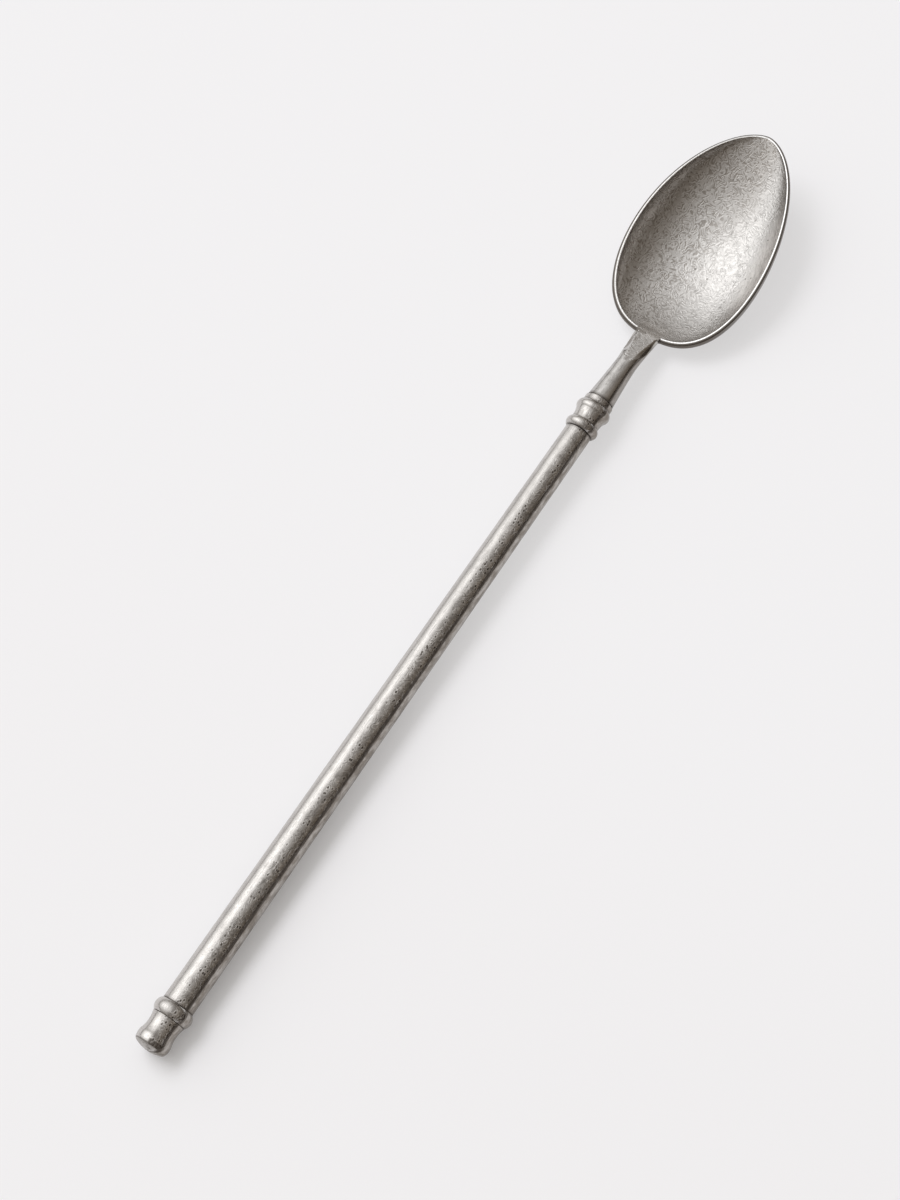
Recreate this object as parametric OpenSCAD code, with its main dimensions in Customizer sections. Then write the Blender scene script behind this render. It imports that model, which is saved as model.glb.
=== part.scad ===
// Iced tea spoon: a forged bowl and stem, set by its tang into a hollow turned handle.
// Lengths are in millimetres. The spoon lies along X as on a table, with its tail towards -X.

/* [Bowl] */
// Length of the bowl from the neck to the tip
bowl_l = 43; // [39:0.5:50]
// Width of the bowl over its rim
bowl_w = 27.4; // [24:0.2:32]
// Depth of the hollow below the rim
bowl_depth = 7.2; // [6.8:0.1:9]
// Thickness of the metal at the bottom of the bowl
bowl_wall = 0.9; // [0.7:0.05:1.4]
// Height that the rim climbs from the neck to the tip
rim_rise = 8.4; // [5:0.2:9]
// Depth of the rim at the neck below the handle's axis
rim_drop = 0.9; // [0.8:0.1:1.6]
// Width of the flat land on top of the rim
rim_land = 0.3; // [0.2:0.02:0.5]
// Width of the bevel outside the land
rim_bevel_w = 0.44; // [0.3:0.02:0.5]
// Height of the bevel outside the land
rim_bevel_h = 0.6; // [0.4:0.02:0.7]
// Depth of the flat that wear has left under the bowl
wear_depth = 0.08; // [0.04:0.01:0.15]

/* [Stem] */
// Length of the stem from the collar to the bowl
stem_l = 15.9; // [13:0.1:22]
// Diameter of the stem where it meets the collar
stem_back_d = 5.2; // [5:0.05:5.3]
// Diameter of the stem where it is thinnest
stem_waist_d = 4.05; // [3.7:0.05:4.6]
// Distance of the thinnest place from the collar
stem_waist_l = 8.9; // [7.5:0.1:9.5]
// Width of the stem where it meets the bowl
neck_w = 4.9; // [4.7:0.1:5.8]
// Thickness of the stem where it meets the bowl, before its flat is cut
neck_t = 4; // [3.8:0.1:4.8]
// Depth that the stem's axis sinks at the neck
neck_drop = 0.7; // [0.5:0.1:1]
// Length of the flat on top of the stem, back from the bowl
facet_l = 7.2; // [5:0.1:8]
// Height at which the flat reaches the bowl's outline, from the handle's axis
facet_aim = -0.3; // [-0.6:0.02:0]
// Radius at which the flat rolls over into the bowl
roll_r = 6.5; // [6.5:0.5:12]
// Distance before the bowl at which the roll starts
roll_l = 0.2; // [0:0.1:1]
// Length of the stem's root inside the metal of the bowl
root_l = 2.4; // [1.4:0.1:3]

/* [Tang] */
// Diameter of the tang
tang_d = 2.6; // [2.2:0.1:3]
// Length of the tang behind the stem
tang_l = 24; // [18:0.5:30]
// Length of the tang's point
tang_point_l = 3; // [2:0.25:5]
// Diameter of the tang at its end
tang_end_d = 1.2; // [0.8:0.1:1.6]

/* [Collar] */
// Diameter over the small bead
small_bead_d = 6.4; // [6.2:0.1:7.2]
// Radius of the small bead's round
small_bead_r = 1.1; // [0.9:0.05:1.2]
// Diameter of the throat between the beads
throat_d = 5.46; // [5.3:0.02:5.6]
// Length of the throat
throat_l = 0.3; // [0.2:0.05:0.5]
// Length of the flare from the throat up to the large bead
flare_l = 1.6; // [1.4:0.05:1.8]
// Radius of the hollow of that flare
flare_r = 4; // [3.6:0.1:4.6]
// Diameter over the large bead
large_bead_d = 6.74; // [6.6:0.02:7.2]
// Radius of the large bead's round
large_bead_r = 1.15; // [1.1:0.05:1.25]
// How far the large bead's back reaches into the flare
bead_lap = 0.35; // [0.3:0.05:0.45]
// Diameter of the step ring in front of the large bead
step_d = 5.6; // [5.4:0.05:5.9]
// Length of the step ring
step_l = 0.95; // [0.8:0.05:1.2]
// Width of the groove between the step ring and the stem
groove_w = 0.3; // [0.2:0.05:0.4]
// Depth of that groove
groove_depth = 0.35; // [0.2:0.05:0.4]
// Length of the collar's spigot inside the handle
collar_spigot_l = 5; // [3:0.5:8]

/* [Handle] */
// Length of the handle tube
tube_l = 124.8; // [90:1:160]
// Diameter of the tube at the collar
tube_front_d = 5.15; // [5:0.05:5.3]
// Diameter of the tube at the tail
tube_back_d = 5.95; // [5.8:0.05:6.1]
// Thickness of the tube's metal
tube_wall = 0.5; // [0.4:0.05:0.6]
// How far the cement that holds the tang reaches past its end
cement_past_l = 4.3; // [2:0.1:10]

/* [Tail] */
// Diameter over the tail ring
ring_d = 7.25; // [7:0.05:8]
// Length of the ring along the handle
ring_l = 2.8; // [2.6:0.1:3.2]
// Radius of the ring's round
ring_r = 1.8; // [1.6:0.05:2.2]
// Width of the quirk on each side of the round
quirk_w = 0.15; // [0.1:0.01:0.25]
// Depth of the quirks below the tube
quirk_depth = 0.12; // [0.05:0.01:0.2]
// Length of the cap behind the ring
cap_l = 6.2; // [5.5:0.1:8]
// Diameter of the cap's waist
cap_waist_d = 5.68; // [5.4:0.02:5.8]
// Distance of the cap's waist from the ring
cap_waist_l = 1.8; // [1.4:0.1:2.2]
// Radius of the long cove that cuts the waist
cap_cove_r = 6; // [5:0.25:9]
// Diameter over the cap's lip
lip_d = 6.4; // [6.2:0.05:7]
// Radius of the lip's round
lip_r = 1.75; // [1.4:0.05:1.8]
// Diameter of the domed end face
dome_d = 4.5; // [4:0.1:4.8]
// Height of the domed end face
dome_h = 0.35; // [0.25:0.05:0.5]
// Length of the cap's spigot inside the ring and the tube
cap_spigot_l = 7.5; // [5:0.5:10]

/* [Fits] */
// Gap round each spigot, the tang and the cement
fit_gap = 0.03; // [0.01:0.01:0.06]

/* [Fineness] */
// Facets round a turned piece
turned_facets = 48; // [32:4:96]
// Facets round a whole circle in the profile of a turned piece
profile_facets = 32; // [24:4:64]
// Facets round the bowl's outline
bowl_facets = 72; // [48:4:88]
// Facets round the stem
stem_facets = 32; // [24:4:48]
// Lengths that the stem is lofted in
stem_steps = 22; // [16:1:30]
// Facets of the roll from the stem's flat into the bowl
roll_facets = 8; // [4:1:12]

/* [Hidden] */

// Overrun of every cut past the surface that it opens
overrun = 0.5;

// Stations along the handle's axis, from the end of the cap to the tip of the bowl
x_ring = cap_l;
x_tube = x_ring + ring_l;
x_collar = x_tube + tube_l;
x_throat = x_collar + 2 * small_bead_r;
x_flare = x_throat + throat_l;
x_large_bead = x_flare + flare_l - bead_lap;
x_step = x_large_bead + 2 * large_bead_r;
x_groove = x_step + step_l;
x_stem = x_groove + groove_w;
x_waist = x_stem + stem_waist_l;
x_bowl = x_stem + stem_l;
x_root = x_bowl + root_l;
x_tip = x_bowl + bowl_l;

// Shares that shape the ends of the bowl: its width and its depth at the neck and at the tip
neck_width_share = 0.38;
tip_width_share = 0.58;
outer_neck_share = 0.8;
inner_neck_share = 0.95;
tip_depth_share = 1.1;
// Squareness of the bowl's cross-section, where 2 would be an ellipse
bowl_square_share = 2.05;
// How sharply the stem tapers, flares, sinks and squares up towards the neck
taper_share = 1.3;
flare_share = 1.5;
sink_share = 3;
neck_square_share = 0.3;
// Rings between the middle of the bowl and its rim, as shares of the way out
ring_shares = [0.28, 0.5, 0.68, 0.81, 0.9, 0.955, 0.985, 0.997];
// Place of the bowl's middle, as a share of its length
middle_share = 0.45;

// An arch from 0 over 1 to 0 again, with a power law at each end
function arch(u, start, end) =
    let (peak = start / (start + end))
    u <= 0 || u >= 1 ? 0 : pow(u / peak, start) * pow((1 - u) / (1 - peak), end);

// Height of a superellipse over its half-width
function vault(q, square) = pow(max(0, 1 - pow(min(1, abs(q)), square)), 1 / square);

// The egg outline of the bowl, drawn in by a margin: its half-width and its points
function egg_half(u, margin) =
    (bowl_w / 2 - margin) * arch(u, neck_width_share, tip_width_share);
function egg_point(i, margin) =
    let (turn = 360 * i / bowl_facets, u = (1 - cos(turn)) / 2)
    [x_bowl + margin + (bowl_l - 2 * margin) * u, sign(sin(turn)) * egg_half(u, margin)];

// Height of the rim over the handle's axis
function rim_z(x) = rim_rise * sin(90 * min(1, max(0, (x - x_bowl) / bowl_l))) - rim_drop;

// A surface that hangs below the rim, from a step under it down to a depth
function hung_z(p, margin, step, depth, neck_share) =
    let (
        u = (p[0] - x_bowl - margin) / (bowl_l - 2 * margin),
        half = egg_half(u, margin),
        q = half > 0 ? p[1] / half : 1,
        hang = arch(u, neck_share, tip_depth_share) * vault(q, bowl_square_share)
    )
    rim_z(p[0]) - step - (depth - step) * hang;
rim_margin = rim_bevel_w + rim_land;
function outer_z(p) = hung_z(p, 0, rim_bevel_h, bowl_depth + bowl_wall, outer_neck_share);
function inner_z(p) = hung_z(p, rim_margin, 0, bowl_depth, inner_neck_share);

// Rings of points on the bowl, at a share of the way out from its middle or along its rim
bowl_middle = [x_bowl + bowl_l * middle_share, 0];
function toward_egg(i, share, margin) =
    bowl_middle + share * (egg_point(i, margin) - bowl_middle);
function outer_ring(share) = [
    for (i = [0 : bowl_facets - 1])
        let (p = toward_egg(i, share, 0)) [p[0], p[1], outer_z(p)]
];
function inner_ring(share) = [
    for (i = [0 : bowl_facets - 1])
        let (p = toward_egg(i, share, rim_margin)) [p[0], p[1], inner_z(p)]
];
function rim_ring(margin, step) = [
    for (i = [0 : bowl_facets - 1])
        let (p = egg_point(i, margin)) [p[0], p[1], rim_z(p[0]) - step]
];
outer_rings = [for (share = ring_shares) outer_ring(share)];
inner_rings = [for (k = [len(ring_shares) - 1 : -1 : 0]) inner_ring(ring_shares[k])];
rim_rings = [rim_ring(0, rim_bevel_h), rim_ring(rim_bevel_w, 0), rim_ring(rim_margin, 0)];
bowl_rings = concat(outer_rings, rim_rings, inner_rings);
bowl_poles = [
    [bowl_middle[0], 0, outer_z(bowl_middle)],
    [bowl_middle[0], 0, inner_z(bowl_middle)]
];

// Faces that join rings of equal count, with a fan on a pole at each end
function band_faces(rings, count) = [
    for (k = [0 : rings - 2])
        for (i = [0 : count - 1])
            let (a = k * count + i, b = k * count + (i + 1) % count)
            each [[a, b, b + count], [a, b + count, a + count]]
];
function fan_faces(pole, first, count, forward) = [
    for (i = [0 : count - 1])
        let (a = first + i, b = first + (i + 1) % count)
        forward ? [pole, a, b] : [pole, b, a]
];
function closed_faces(rings, count) = concat(
    fan_faces(rings * count, 0, count, false),
    band_faces(rings, count),
    fan_faces(rings * count + 1, (rings - 1) * count, count, true)
);

// The stem at a station: its way along, half-width, half-thickness and the height of its axis
function along(x) = (x - x_stem) / stem_l;
function stem_half(x) =
    x < x_waist
    ? stem_waist_d / 2
        + (stem_back_d - stem_waist_d) / 2 * pow((x_waist - x) / stem_waist_l, taper_share)
    : stem_waist_d / 2
        + (neck_w - stem_waist_d) / 2 * pow((x - x_waist) / (x_bowl - x_waist), flare_share);
function stem_thick(x) = stem_half(x) - (neck_w - neck_t) / 2 * pow(along(x), sink_share);
function stem_z(x) = -neck_drop * pow(along(x), sink_share);

// One section of the stem, round at the collar and squarer at the neck
function stem_section(x) =
    let (square = 2 + neck_square_share * pow(along(x), sink_share))
    [
        for (i = [0 : stem_facets - 1])
            let (turn = 360 * i / stem_facets)
            [
                x,
                stem_half(x) * sign(cos(turn)) * pow(abs(cos(turn)), 2 / square),
                stem_z(x) - stem_thick(x) * sign(sin(turn)) * pow(abs(sin(turn)), 2 / square)
            ]
    ];
stem_sections = [
    for (k = [0 : stem_steps])
        stem_section(x_stem + (x_root - x_stem) * k / stem_steps)
];
stem_poles = [[x_stem, 0, stem_z(x_stem)], [x_root, 0, stem_z(x_root)]];

// The flat on top of the stem, seen from the side, and its roll into the bowl
x_facet = x_bowl - facet_l;
x_roll = x_bowl - roll_l;
facet_top = stem_z(x_facet) + stem_thick(x_facet);
facet_slope = atan((facet_top - facet_aim) / facet_l);
roll_start = [x_roll, facet_top - (x_roll - x_facet) * tan(facet_slope)];
roll_centre = roll_start - roll_r * [sin(facet_slope), cos(facet_slope)];
roll_end = asin((x_root + overrun - roll_centre[0]) / roll_r);
roll_points = [
    for (k = [0 : roll_facets])
        let (turn = facet_slope + (roll_end - facet_slope) * k / roll_facets)
        roll_centre + roll_r * [sin(turn), cos(turn)]
];

// The bore of the handle tube at a station, and what fits inside it
function bore_r(x) =
    tube_back_d / 2 - tube_wall - (tube_back_d - tube_front_d) / 2 * (x - x_tube) / tube_l;
x_collar_spigot = x_collar - collar_spigot_l;
x_cap_spigot = x_ring + cap_spigot_l;
x_tang = x_stem - tang_l;
x_cement = x_tang - cement_past_l;
collar_spigot_r = bore_r(x_collar) - fit_gap;
cap_spigot_r = bore_r(x_cap_spigot) - fit_gap;

// How the spoon lies: the tilt at which the tail ring and the worn bowl both touch the table
ring_middle = x_ring + ring_l / 2;
ring_round = ring_d / 2 - ring_r;
function ring_low(tilt) = ring_middle * sin(tilt) - ring_round * cos(tilt) - ring_r;
function bowl_low(tilt) = min([
    for (points = outer_rings)
        for (p = points) p[0] * sin(tilt) + p[2] * cos(tilt)
]);
function settle(tilt, turns) =
    let (drop = ring_low(tilt) - wear_depth - bowl_low(tilt))
    turns == 0 ? tilt : settle(tilt + asin(drop / (bowl_middle[0] - ring_middle)), turns - 1);
lay_tilt = settle(0, 8);

// The ends of the spoon as it lies, which put the origin under its middle
dome_r = (pow(dome_d / 2, 2) + pow(dome_h, 2)) / (2 * dome_h);
tail_end = dome_r * cos(lay_tilt) - dome_r;
tip_end = x_tip * cos(lay_tilt) - (rim_z(x_tip) - rim_bevel_h) * sin(lay_tilt);

module laid() {
    translate([-(tail_end + tip_end) / 2, 0, -ring_low(lay_tilt)])
        rotate([0, -lay_tilt, 0])
            children();
}

// A profile of radius and station, turned round the handle's axis
module turned() {
    rotate([0, 90, 0])
        rotate_extrude($fn = turned_facets)
            children();
}

// A plain length of such a profile, from the axis out
module plain_length(r, from, to) {
    translate([0, from])
        square([r, to - from]);
}

// The round of a bead in such a profile
module bead_round(d, r, x) {
    intersection() {
        translate([d / 2 - r, x])
            circle(r, $fn = profile_facets);
        plain_length(d, x - 2 * r, x + 2 * r);
    }
}

// A cove in such a profile, cut down to a diameter
module cove(d, r, x) {
    translate([d / 2 + r, x])
        circle(r, $fn = 2 * profile_facets);
}

// How far a cove has climbed at half its length
function cove_rise(r, half_l) = r - sqrt(pow(r, 2) - pow(half_l, 2));

module bowl_shell() {
    polyhedron(
        points = concat([for (points = bowl_rings) each points], bowl_poles),
        faces = closed_faces(len(bowl_rings), bowl_facets),
        convexity = 4
    );
}

module stem_loft() {
    polyhedron(
        points = concat([for (points = stem_sections) each points], stem_poles),
        faces = closed_faces(len(stem_sections), stem_facets),
        convexity = 2
    );
}

// All that is filed off the top of the stem
module facet_cut() {
    sky = facet_top + stem_back_d;
    start = [x_facet - overrun, facet_top + overrun * tan(facet_slope)];
    rotate([90, 0, 0])
        linear_extrude(2 * neck_w, center = true)
            polygon(concat(
                [[x_facet - overrun, sky], start],
                roll_points,
                [[x_root + overrun, sky]]
            ));
}

module tang(gap) {
    turned()
        polygon([
            [0, x_tang - gap],
            [tang_end_d / 2 + gap, x_tang - gap],
            [tang_d / 2 + gap, x_tang + tang_point_l],
            [tang_d / 2 + gap, x_stem + overrun],
            [0, x_stem + overrun]
        ]);
}

module bowl_and_stem() {
    color([0.66, 0.64, 0.61])
        difference() {
            laid() {
                bowl_shell();
                difference() {
                    stem_loft();
                    facet_cut();
                }
                tang(0);
            }
            translate([0, -bowl_w / 2, -wear_depth - overrun])
                cube([x_tip, bowl_w, wear_depth + overrun]);
        }
}

module front_collar() {
    small_x = x_collar + small_bead_r;
    large_x = x_step - large_bead_r;
    flare_end_r = throat_d / 2 + cove_rise(flare_r, flare_l);
    color([0.6, 0.58, 0.55])
        laid()
            turned()
                difference() {
                    union() {
                        plain_length(collar_spigot_r, x_collar_spigot, x_collar + overrun);
                        plain_length(throat_d / 2, x_collar, x_groove);
                        plain_length(step_d / 2, large_x, x_groove);
                        plain_length(step_d / 2 - groove_depth, x_step, x_stem);
                        bead_round(small_bead_d, small_bead_r, small_x);
                        bead_round(large_bead_d, large_bead_r, large_x);
                        difference() {
                            plain_length(flare_end_r, x_flare, x_flare + flare_l);
                            cove(throat_d, flare_r, x_flare);
                        }
                    }
                    plain_length(tang_d / 2 + fit_gap, x_collar_spigot - overrun, x_stem + overrun);
                }
}

module handle_tube() {
    color([0.62, 0.6, 0.57])
        laid()
            turned()
                polygon([
                    [bore_r(x_tube), x_tube],
                    [tube_back_d / 2, x_tube],
                    [tube_front_d / 2, x_collar],
                    [bore_r(x_collar), x_collar]
                ]);
}

module tail_ring() {
    color([0.64, 0.62, 0.59])
        laid()
            turned()
                difference() {
                    union() {
                        plain_length(tube_back_d / 2 - quirk_depth, x_ring, x_tube);
                        intersection() {
                            bead_round(ring_d, ring_r, ring_middle);
                            plain_length(ring_d, x_ring + quirk_w, x_tube - quirk_w);
                        }
                    }
                    plain_length(cap_spigot_r + fit_gap, x_ring - overrun, x_tube + overrun);
                }
}

module end_cap() {
    lip_x = dome_h + lip_r;
    front_r = cap_waist_d / 2 + cove_rise(cap_cove_r, cap_waist_l);
    color([0.64, 0.62, 0.59])
        laid()
            turned() {
                difference() {
                    plain_length(front_r, lip_x, x_ring);
                    cove(cap_waist_d, cap_cove_r, x_ring - cap_waist_l);
                }
                bead_round(lip_d, lip_r, lip_x);
                intersection() {
                    translate([0, dome_r])
                        circle(dome_r, $fn = 2 * profile_facets);
                    plain_length(dome_d / 2, -overrun, lip_x);
                }
                plain_length(cap_spigot_r, lip_x, x_cap_spigot);
            }
}

module tang_cement() {
    color([0.35, 0.27, 0.2])
        laid()
            difference() {
                turned()
                    polygon([
                        [0, x_cement],
                        [bore_r(x_cement) - fit_gap, x_cement],
                        [bore_r(x_collar_spigot) - fit_gap, x_collar_spigot],
                        [0, x_collar_spigot]
                    ]);
                tang(fit_gap);
            }
}

bowl_and_stem();
front_collar();
handle_tube();
tail_ring();
end_cap();
tang_cement();
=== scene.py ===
import math

import bmesh
import bpy
import numpy as np
from mathutils import Matrix, Vector, noise


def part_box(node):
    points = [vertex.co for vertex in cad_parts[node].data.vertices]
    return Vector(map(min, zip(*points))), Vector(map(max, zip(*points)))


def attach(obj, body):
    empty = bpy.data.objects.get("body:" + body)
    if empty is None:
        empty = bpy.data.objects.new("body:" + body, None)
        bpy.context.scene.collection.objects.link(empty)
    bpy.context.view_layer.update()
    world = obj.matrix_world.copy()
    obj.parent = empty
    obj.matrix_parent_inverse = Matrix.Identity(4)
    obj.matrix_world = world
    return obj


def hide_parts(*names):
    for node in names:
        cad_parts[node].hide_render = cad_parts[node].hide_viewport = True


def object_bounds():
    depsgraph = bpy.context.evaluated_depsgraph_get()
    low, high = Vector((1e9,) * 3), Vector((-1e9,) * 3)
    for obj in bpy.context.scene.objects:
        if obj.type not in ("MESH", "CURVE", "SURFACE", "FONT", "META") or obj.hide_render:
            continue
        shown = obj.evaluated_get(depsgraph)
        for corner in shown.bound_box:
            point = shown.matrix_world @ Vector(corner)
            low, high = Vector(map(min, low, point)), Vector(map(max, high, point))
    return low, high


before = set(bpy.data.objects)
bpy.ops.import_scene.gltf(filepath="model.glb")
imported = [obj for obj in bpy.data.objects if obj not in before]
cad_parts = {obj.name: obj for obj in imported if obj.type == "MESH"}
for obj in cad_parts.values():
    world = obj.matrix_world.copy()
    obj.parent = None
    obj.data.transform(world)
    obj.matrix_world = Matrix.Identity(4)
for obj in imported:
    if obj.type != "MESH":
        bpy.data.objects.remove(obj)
cad_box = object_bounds()

MM = 0.001
ROOT = "root"

# Stations along the handle's axis, in millimetres from the end of the cap
RING_X = 6.2
TUBE_X = 9.0
COLLAR_X = 133.8
STEP_X = 139.85
GROOVE_X = 140.8
STEM_X = 141.1
WAIST_X = 150.0
BOWL_X = 157.0
TIP_X = 200.0

# The bowl, in millimetres. The shares of width and depth are the powers by which its outline and
# its section start from each end.
BOWL_L = TIP_X - BOWL_X
BOWL_W = 27.4
BOWL_DEPTH = 7.2
BOWL_WALL = 0.9
RIM_RISE = 8.4
RIM_DROP = 0.9
RIM_LAND = 0.3
RIM_BEVEL_W = 0.44
RIM_BEVEL_H = 0.6
RIM_EDGE = 0.06
RIM_CROWN = 0.03
NECK_WIDTH_SHARE = 0.38
TIP_WIDTH_SHARE = 0.58
OUTER_NECK_SHARE = 0.8
INNER_NECK_SHARE = 0.95
TIP_DEPTH_SHARE = 1.1
BOWL_SQUARE = 2.05
MIDDLE_SHARE = 0.45

# The stem and tang, in millimetres. The last four shares are the powers by which the stem tapers,
# flares and sinks towards the bowl, and by which the flat gets wider.
STEM_BACK_D = 5.2
STEM_WAIST_D = 4.05
NECK_W = 4.9
NECK_T = 4.0
NECK_DROP = 0.7
NECK_SQUARE = 0.3
FACET_L = 7.2
FACET_AIM = -0.3
FACET_SOFTNESS = 0.05
FACET_HALF_FROM = 0.25
FACET_HALF_TO = 1.8
FACET_SIDE_SLOPE = 1.0
FACET_SIDE_FOOT = 0.15
FACET_SIDE_START_L = 4.0
ROLL_R = 6.5
ROLL_L = 0.2
ROOT_L = 2.4
TANG_D = 2.6
TANG_L = 24.0
TANG_POINT_L = 3.0
TANG_END_D = 1.2
TAPER_SHARE = 1.3
FLARE_SHARE = 1.5
SINK_SHARE = 3
FLAT_SHARE = 0.7

# Where the neck is blended into the bowl, as stations, depth below the rim, weight and rounds
BLEND_START_X = (BOWL_X - 0.8, BOWL_X + 0.4)
BLEND_END_X = (BOWL_X + 3, BOWL_X + 4.5)
BLEND_BELOW = (0.15, 0.6)
BLEND_WEIGHT = 0.6
BLEND_ROUNDS = 14

# The collar, in millimetres and degrees
SMALL_BEAD_R = 3.2
SMALL_BEAD_ROUND = 1.1
THROAT_X = 136.0
THROAT_R = 2.73
FLARE_X = 136.3
FLARE_L = 1.6
FLARE_ROUND = 4.0
LARGE_BEAD_X = 138.7
LARGE_BEAD_R = 3.37
LARGE_BEAD_ROUND = 1.15
LARGE_BEAD_START = 132
STEP_R = 2.8
GROOVE_R = 2.45
COLLAR_SPIGOT_L = 5.0

# The handle, the ring and the cap, in millimetres and degrees
TUBE_BACK_R = 2.975
TUBE_FRONT_R = 2.575
TUBE_WALL = 0.5
FIT_GAP = 0.03
RING_R = 3.625
RING_ROUND = 1.8
QUIRK_W = 0.15
QUIRK_DEPTH = 0.12
CAP_WAIST_R = 2.84
CAP_WAIST_L = 1.8
CAP_COVE_R = 6.0
CAP_COVE_START = -105.2
LIP_R = 3.2
LIP_X = 2.1
LIP_ROUND = 1.75
LIP_SQUARE = 3.0
LIP_BACK = (86, 68)
DOME_EDGE_R = 2.5
CAP_SPIGOT_L = 7.5
EDGE = 0.04

# How far every piece stays inside its node's box, in millimetres, and the degrees past which an
# edge is sharp
HELD_INSIDE = 0.003
BOWL_SHARP = 32
TURNED_SHARP = 38

# The unevenness of hand work, in millimetres: its size along the surface and its depths
UNEVEN_SIZE = 2.4
TUBE_UNEVEN = 0.016
COLLAR_UNEVEN = 0.02
TAIL_UNEVEN = 0.03

# The camera: metres to the floor at the middle of the picture, degrees of height and of lean,
# millimetres of lens and sensor, the nearest distance that it sees in metres, and how many degrees
# the handle is turned and where its tail lies, in metres
CAMERA_DISTANCE = 0.50531
CAMERA_ELEVATION = 66.527
CAMERA_ROLL = 13.712
CAMERA_LENS = 85.05
CAMERA_SENSOR = 36
CAMERA_NEAR = 0.01
HANDLE_TURN = 43.66
TAIL_PLACE = (-0.06718, -0.06834)

# The floor: its level in the picture, the light that falls on it, and how much of its level is
# its own glow at the tail and at the bowl, with the stations between which that changes
PALE = 0.894
FLOOR_HALF = 3.0
FLOOR_LIGHT = 1.05
FLOOR_LIFT = 0.21
FLOOR_LIFT_AHEAD = 0.55
FLOOR_LIFT_TINT = (1.0, 0.99, 1.0, 1)
FLOOR_CHANGE = (-0.07, 0.02)
BACKDROP_HEIGHT = 0.01

# The studio's glow: the direction of its middle, then level and warmth by degrees from there
GLOW_TOWARD = (0.0, 0.63, 0.777)
GLOW = (
    (0, 1.95, 0.0),
    (12, 1.8, 0.0),
    (22, 1.35, 0.0),
    (38, 0.85, 0.01),
    (57, 0.5, 0.04),
    (77, 0.29, 0.1),
    (100, 0.15, 0.18),
    (115, 0.09, 0.26),
    (180, 0.09, 0.26),
)

# How much of the glow is left at the horizon, and from which height in a sky of radius 1 it is
# all there
HORIZON_SHADE = 0.5
HORIZON_TOP = 0.26

# The key lamp: its direction, its distance and size in metres, its power in watts and its tint
KEY_TOWARD = (0.102, 0.497, 0.862)
KEY_DISTANCE = 3.0
KEY_SIZE = (1.9, 1.1)
KEY_POWER = 36.0
KEY_TINT = (0.99, 0.98, 1.04)

# Tarnish and painted shade round the handle, in degrees from its left side over the top: the side
# that is tarnished and painted darker as shade, the painted dark reflection along its upper border
# and how far that turns along the neck, and the pits on its top
SHADED_SIDE_MIDDLE = 252
SHADED_SIDE_HALF = 115
SHADED_SIDE_EDGE = 6
DARK_REFLECTION_AT = 141
DARK_REFLECTION_HALF = 12
NECK_DARK_REFLECTION_TURN = 36
PITS_AT = 120
PITS_HALF = 34

# Where dirt gathers beside a step of the outline, in millimetres: how far a step reaches, how it
# falls off with the distance, the heights from which it counts, and the outline's spacing
SHELTER_REACH = 0.8
SHELTER_SLOPE = 0.35
SHELTER_DEPTH = (0.05, 0.4)
OUTLINE_STEP = 0.05

# The painted shade of the dark patch on the cap's roll and of the thin dark line round its end,
# and the worn end face, in millimetres of station and degrees round the handle
PATCH_X = 1.3
PATCH_HALF = (0.4, 0.6)
PATCH_AT = 122
PATCH_TURN = (28, 34)
LINE_X = 0.92
LINE_HALF = (0.06, 0.16)
LINE_AT = 80
LINE_TURN = (60, 75)
LINE_SHARE = 0.7
END_FACE = (0.8, 0.95)

# Marks on the bowl, in millimetres of station, left or right, as where each mark starts and where
# it is full, or where it starts to fade and where it ends: the painted shade on the tip and the
# left wall, the rubbed band on the right wall with its painted sheen, the furrowed left half, the
# dirt in the groove and the painted shade under the rim, the bright rim and borders of the flat,
# and the painted highlight on the brow where the neck rolls over
TIP_SHADE_X = (178, 195)
TIP_SHADE_LEFT = (-6, -1)
TIP_SHADE_SHARE = 0.52
WALL_SHADE_LEFT = (5, 11)
WALL_SHADE_SHARE = 0.55
RUBBED_SHEEN_X = (166, 174)
RUBBED_SHEEN_END_X = (185, 193)
RUBBED_SHEEN_RIGHT = (7.6, 10.6)
FURROWED_LEFT = (-5, 5)
GROOVE_NEAR = (0, 0.7)
GROOVE_SHARE = 0.6
UNDER_RIM_SHADE = (0.9, 2.2)
UNDER_RIM_SHADE_SHARE = 0.72
RIM_NEAR = (0.04, 0.08)
FLAT_NEAR = (0.04, 0.12)
BORDER_NEAR = (0.04, 0.16)
BORDER_HEIGHT = (0.2, 0.3)
BROW_HIGHLIGHT_X = 1.2
BROW_HIGHLIGHT_HALF_L = (0.4, 2.8)
BROW_HIGHLIGHT_HALF_W = (1.6, 3.4)

# The metal's colors where it isn't bare. Patina and tarnish also carry painted shade and a painted
# dark reflection.
PATINA_AND_SHADE = (0.085, 0.07, 0.058, 1)
TARNISH_AND_SHADE = (0.21, 0.18, 0.15, 1)
FURROW = (0.3, 0.27, 0.24, 1)


# Where things lie


def tube_placement():
    """Where the tube's tail end is centred in the row frame, in millimetres, and how it tilts."""
    low, high = (np.array(corner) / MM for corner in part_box("handle_tube"))
    tilt = math.asin((high[2] - low[2] - TUBE_BACK_R - TUBE_FRONT_R) / (COLLAR_X - TUBE_X))
    x = low[0] + TUBE_BACK_R * math.sin(tilt)
    z = low[2] + TUBE_BACK_R * math.cos(tilt)
    return x, z, tilt


TUBE_PLACE_X, TUBE_PLACE_Z, TILT = tube_placement()


def laid(points):
    """Points of station, left and up, in millimetres, as they lie in the row frame, in metres."""
    points = np.asarray(points, float)
    along, left, up = points[..., 0] - TUBE_X, points[..., 1], points[..., 2]
    x = TUBE_PLACE_X + along * math.cos(TILT) - up * math.sin(TILT)
    z = TUBE_PLACE_Z + along * math.sin(TILT) + up * math.cos(TILT)
    return MM * np.stack([x, left, z], axis=-1)


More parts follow.
